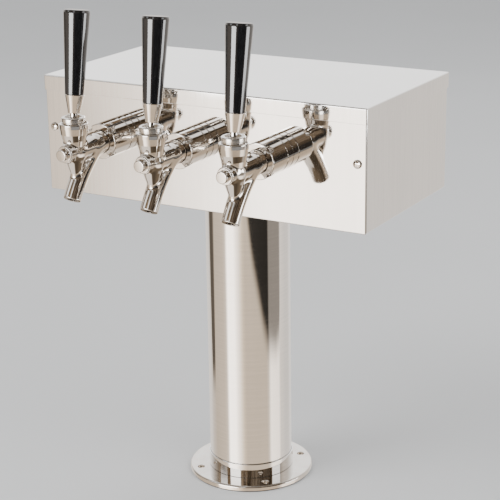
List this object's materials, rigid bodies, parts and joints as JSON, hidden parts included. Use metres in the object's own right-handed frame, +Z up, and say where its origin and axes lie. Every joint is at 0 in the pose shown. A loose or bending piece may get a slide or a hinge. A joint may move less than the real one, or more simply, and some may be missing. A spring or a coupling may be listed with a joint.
{
  "type": "beer tap tower",
  "caption": "Polished steel beer tower: a round column on a bolted flange carries a long box head with forward-facing lever taps, slotted coupling nuts, slanting spouts and tapered black handles.",
  "frame": {"origin": "centre of the column's base, in the plane where the base gasket meets the bar top", "axes": "+Z up along the column, -Y the way the taps face, +X to the right of someone who looks along +Y at the taps"},
  "size_m": [0.4198, 0.3384, 0.5983],
  "materials": {
    "chrome_fittings": "polished",
    "polished_steel": "polished",
    "plain_steel": "satin",
    "black_plastic": "gloss",
    "seal_rubber": "matte",
    "sleeve_foam": "matte"
  },
  "bodies": {
    "tower": {"base_gasket": "seal_rubber", "base_flange": "chrome_fittings", "base_collar": "polished_steel", "column_tube": "polished_steel", "line_sleeve": "sleeve_foam", "column_top_ring": "plain_steel", "head_plate": "plain_steel", "column_screw_1": "plain_steel", "column_screw_2": "plain_steel", "column_screw_3": "plain_steel", "column_screw_4": "plain_steel", "head_body": "polished_steel", "front_panel": "polished_steel", "panel_screw_left": "plain_steel", "panel_screw_right": "plain_steel", "shank_left": "chrome_fittings", "shank_locknut_left": "plain_steel", "tail_elbow_left": "chrome_fittings", "coupling_nut_left": "chrome_fittings", "faucet_body_left": "chrome_fittings", "front_cap_left": "chrome_fittings", "bonnet_nut_left": "chrome_fittings", "product_line_left": "plain_steel", "shank_middle": "chrome_fittings", "shank_locknut_middle": "plain_steel", "tail_elbow_middle": "chrome_fittings", "coupling_nut_middle": "chrome_fittings", "faucet_body_middle": "chrome_fittings", "front_cap_middle": "chrome_fittings", "bonnet_nut_middle": "chrome_fittings", "product_line_middle": "plain_steel", "shank_right": "chrome_fittings", "shank_locknut_right": "plain_steel", "tail_elbow_right": "chrome_fittings", "coupling_nut_right": "chrome_fittings", "faucet_body_right": "chrome_fittings", "front_cap_right": "chrome_fittings", "bonnet_nut_right": "chrome_fittings", "product_line_right": "plain_steel"},
    "cover": {"top_cover": "polished_steel"},
    "lever_left": {"lever_left": "chrome_fittings", "handle_ferrule_left": "chrome_fittings", "handle_left": "black_plastic"},
    "valve_left": {"valve_shaft_left": "plain_steel", "seat_washer_left": "seal_rubber"},
    "lever_middle": {"lever_middle": "chrome_fittings", "handle_ferrule_middle": "chrome_fittings", "handle_middle": "black_plastic"},
    "valve_middle": {"valve_shaft_middle": "plain_steel", "seat_washer_middle": "seal_rubber"},
    "lever_right": {"lever_right": "chrome_fittings", "handle_ferrule_right": "chrome_fittings", "handle_right": "black_plastic"},
    "valve_right": {"valve_shaft_right": "plain_steel", "seat_washer_right": "seal_rubber"}
  },
  "joints": [
    {"name": "cover_lift", "type": "slide", "parent": "tower", "child": "cover", "axis": [0, 0, 1], "range_m": [0, 0.06]},
    {"name": "lever_left_pull", "type": "hinge", "parent": "tower", "child": "lever_left", "pos_m": [-0.1016, -0.2025, 0.471], "axis": [1, 0, 0], "range_deg": [0, 25]},
    {"name": "valve_left_slide", "type": "slide", "parent": "tower", "child": "valve_left", "axis": [0, 1, 0], "range_m": [0, 0.0122]},
    {"name": "lever_middle_pull", "type": "hinge", "parent": "tower", "child": "lever_middle", "pos_m": [0, -0.2025, 0.471], "axis": [1, 0, 0], "range_deg": [0, 25]},
    {"name": "valve_middle_slide", "type": "slide", "parent": "tower", "child": "valve_middle", "axis": [0, 1, 0], "range_m": [0, 0.0122]},
    {"name": "lever_right_pull", "type": "hinge", "parent": "tower", "child": "lever_right", "pos_m": [0.1016, -0.2025, 0.471], "axis": [1, 0, 0], "range_deg": [0, 25]},
    {"name": "valve_right_slide", "type": "slide", "parent": "tower", "child": "valve_right", "axis": [0, 1, 0], "range_m": [0, 0.0122]}
  ],
  "couplings": [
    {"joint": "valve_left_slide", "follows": "lever_left_pull", "m_per_rad": 0.027673},
    {"joint": "valve_middle_slide", "follows": "lever_middle_pull", "m_per_rad": 0.027673},
    {"joint": "valve_right_slide", "follows": "lever_right_pull", "m_per_rad": 0.027673}
  ]
}
